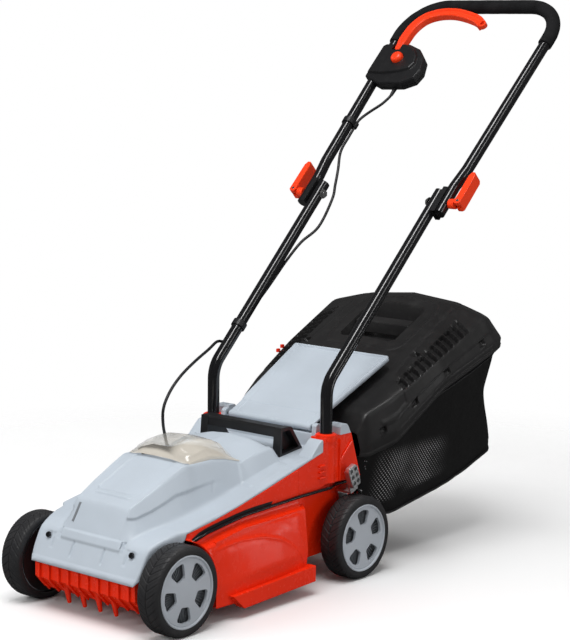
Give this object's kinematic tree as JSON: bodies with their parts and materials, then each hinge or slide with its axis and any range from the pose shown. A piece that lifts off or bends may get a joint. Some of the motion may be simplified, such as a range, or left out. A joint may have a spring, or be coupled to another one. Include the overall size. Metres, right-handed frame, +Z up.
{
  "type": "cordless rotary lawn mower",
  "caption": "Push lawn mower with a ribbed orange-red deck, grey cover, clear battery lid, foldable black handle with bail lever, and a rear flap and grass box.",
  "frame": {"origin": "on the ground, centred under the machine in X and Y", "axes": "+X towards the mower's own left, +Y towards its rear and the user, +Z up"},
  "size_m": [0.418, 1.1682, 1.0374],
  "materials": {
    "red_plastic": "glossy",
    "grey_plastic": "satin",
    "black_plastic": "satin",
    "orange_plastic": "glossy",
    "tyre_rubber": "matt",
    "foam": "matt",
    "black_paint": "glossy",
    "steel": "satin",
    "bag_fabric": "woven",
    "clear_lid": "glossy",
    "circuit_board": "satin"
  },
  "bodies": {
    "mower": {"deck": "red_plastic", "top_cover": "grey_plastic", "battery_tray": "black_plastic", "battery_pack": "black_plastic", "motor_housing": "steel", "shaft_bearing": "steel", "controller_board": "circuit_board", "carry_handle": "black_plastic", "tower_cap_left": "grey_plastic", "tower_cap_right": "grey_plastic", "lower_tube_left": "black_paint", "lower_tube_right": "black_paint", "cable_clip_lower": "black_plastic", "cable_lower": "black_plastic", "cable_fold": "black_plastic", "cable_gland": "black_plastic", "cover_screw_left": "steel", "cover_screw_right": "steel", "flap_pin": "steel"},
    "front_crank": {"front_axle": "steel", "front_link_arm": "steel"},
    "rear_crank": {"rear_axle": "steel", "height_lever": "steel", "height_knob": "steel"},
    "linkage": {"linkage_rod": "black_paint"},
    "wheel_front_left": {"tyre_front_left": "tyre_rubber", "hub_front_left": "grey_plastic"},
    "wheel_front_right": {"tyre_front_right": "tyre_rubber", "hub_front_right": "grey_plastic"},
    "wheel_rear_left": {"tyre_rear_left": "tyre_rubber", "hub_rear_left": "grey_plastic"},
    "wheel_rear_right": {"tyre_rear_right": "tyre_rubber", "hub_rear_right": "grey_plastic"},
    "blade_unit": {"motor_rotor": "steel", "blade_holder": "steel", "cutting_blade": "steel", "blade_bolt": "steel"},
    "handle": {"upper_handle": "black_paint", "handle_grip": "foam", "switch_base": "black_plastic", "switch_cover": "black_plastic", "power_switch": "black_plastic", "cable_clip_upper": "black_plastic", "cable_upper": "black_plastic", "cradle_left": "black_plastic", "cradle_right": "black_plastic", "clamp_bolt_left": "steel", "clamp_bolt_right": "steel", "clamp_boss_left": "orange_plastic", "clamp_boss_right": "orange_plastic"},
    "cam_left": {"cam_lever_left": "orange_plastic"},
    "cam_right": {"cam_lever_right": "orange_plastic"},
    "bail": {"bail_lever": "orange_plastic"},
    "button": {"safety_button": "orange_plastic"},
    "lid": {"battery_lid": "clear_lid", "lid_latch": "clear_lid"},
    "flap": {"rear_flap": "grey_plastic"},
    "grass_box": {"box_lid": "black_plastic", "box_bag": "bag_fabric", "box_frame": "black_plastic"}
  },
  "joints": [
    {"name": "rear_height_swing", "type": "hinge", "parent": "mower", "child": "rear_crank", "pos_m": [0, -0.01147, 0.059], "axis": [1, 0, 0], "range_deg": [0, 44.78]},
    {"name": "front_height_swing", "type": "hinge", "parent": "mower", "child": "front_crank", "pos_m": [0, -0.47047, 0.059], "axis": [1, 0, 0], "range_deg": [0, 44.78]},
    {"name": "linkage_pivot", "type": "hinge", "parent": "rear_crank", "child": "linkage", "pos_m": [0, 0.00379, 0.13753], "axis": [1, 0, 0], "range_deg": [-44.78, 0]},
    {"name": "wheel_front_left_spin", "type": "hinge", "parent": "front_crank", "child": "wheel_front_left", "pos_m": [0.16175, -0.50931, 0.075], "axis": [1, 0, 0], "continuous": true},
    {"name": "wheel_front_right_spin", "type": "hinge", "parent": "front_crank", "child": "wheel_front_right", "pos_m": [-0.16175, -0.50931, 0.075], "axis": [1, 0, 0], "continuous": true},
    {"name": "wheel_rear_left_spin", "type": "hinge", "parent": "rear_crank", "child": "wheel_rear_left", "pos_m": [0.16175, -0.05031, 0.075], "axis": [1, 0, 0], "continuous": true},
    {"name": "wheel_rear_right_spin", "type": "hinge", "parent": "rear_crank", "child": "wheel_rear_right", "pos_m": [-0.16175, -0.05031, 0.075], "axis": [1, 0, 0], "continuous": true},
    {"name": "blade_spin", "type": "hinge", "parent": "mower", "child": "blade_unit", "pos_m": [0, -0.29731, 0.06], "axis": [0, 0, 1], "continuous": true},
    {"name": "handle_fold", "type": "hinge", "parent": "mower", "child": "handle", "pos_m": [0, 0.20069, 0.658], "axis": [1, 0, 0], "range_deg": [0, 160], "deforming": ["cable_fold"]},
    {"name": "cam_left_swing", "type": "hinge", "parent": "handle", "child": "cam_left", "pos_m": [0.197, 0.20069, 0.658], "axis": [0, 0.7034, -0.7108], "range_deg": [0, 100]},
    {"name": "cam_right_swing", "type": "hinge", "parent": "handle", "child": "cam_right", "pos_m": [-0.197, 0.20069, 0.658], "axis": [0, -0.7034, 0.7108], "range_deg": [0, 100]},
    {"name": "bail_swing", "type": "hinge", "parent": "handle", "child": "bail", "pos_m": [-0.15, 0.46804, 0.93945], "axis": [0, -0.7034, 0.7108], "range_deg": [0, 4], "stiffness_Nm_per_rad": 0.6, "springref_deg": -5.73},
    {"name": "button_press", "type": "slide", "parent": "handle", "child": "button", "axis": [0, 0.7034, -0.7108], "range_m": [0, 0.004], "stiffness_N_per_m": 200, "springref_m": -0.002},
    {"name": "battery_lid_hinge", "type": "hinge", "parent": "mower", "child": "lid", "pos_m": [0, -0.39331, 0.254], "axis": [1, 0, 0], "range_deg": [0, 100]},
    {"name": "rear_flap_hinge", "type": "hinge", "parent": "mower", "child": "flap", "pos_m": [0, -0.09731, 0.271], "axis": [1, 0, 0], "range_deg": [0, 60]},
    {"name": "grass_box_slide", "type": "slide", "parent": "mower", "child": "grass_box", "axis": [0, 0.9659, 0.2588], "range_m": [0, 0.25]}
  ],
  "couplings": [
    {"joint": "front_height_swing", "follows": "rear_height_swing", "ratio": 1},
    {"joint": "linkage_pivot", "follows": "rear_height_swing", "ratio": -1}
  ]
}
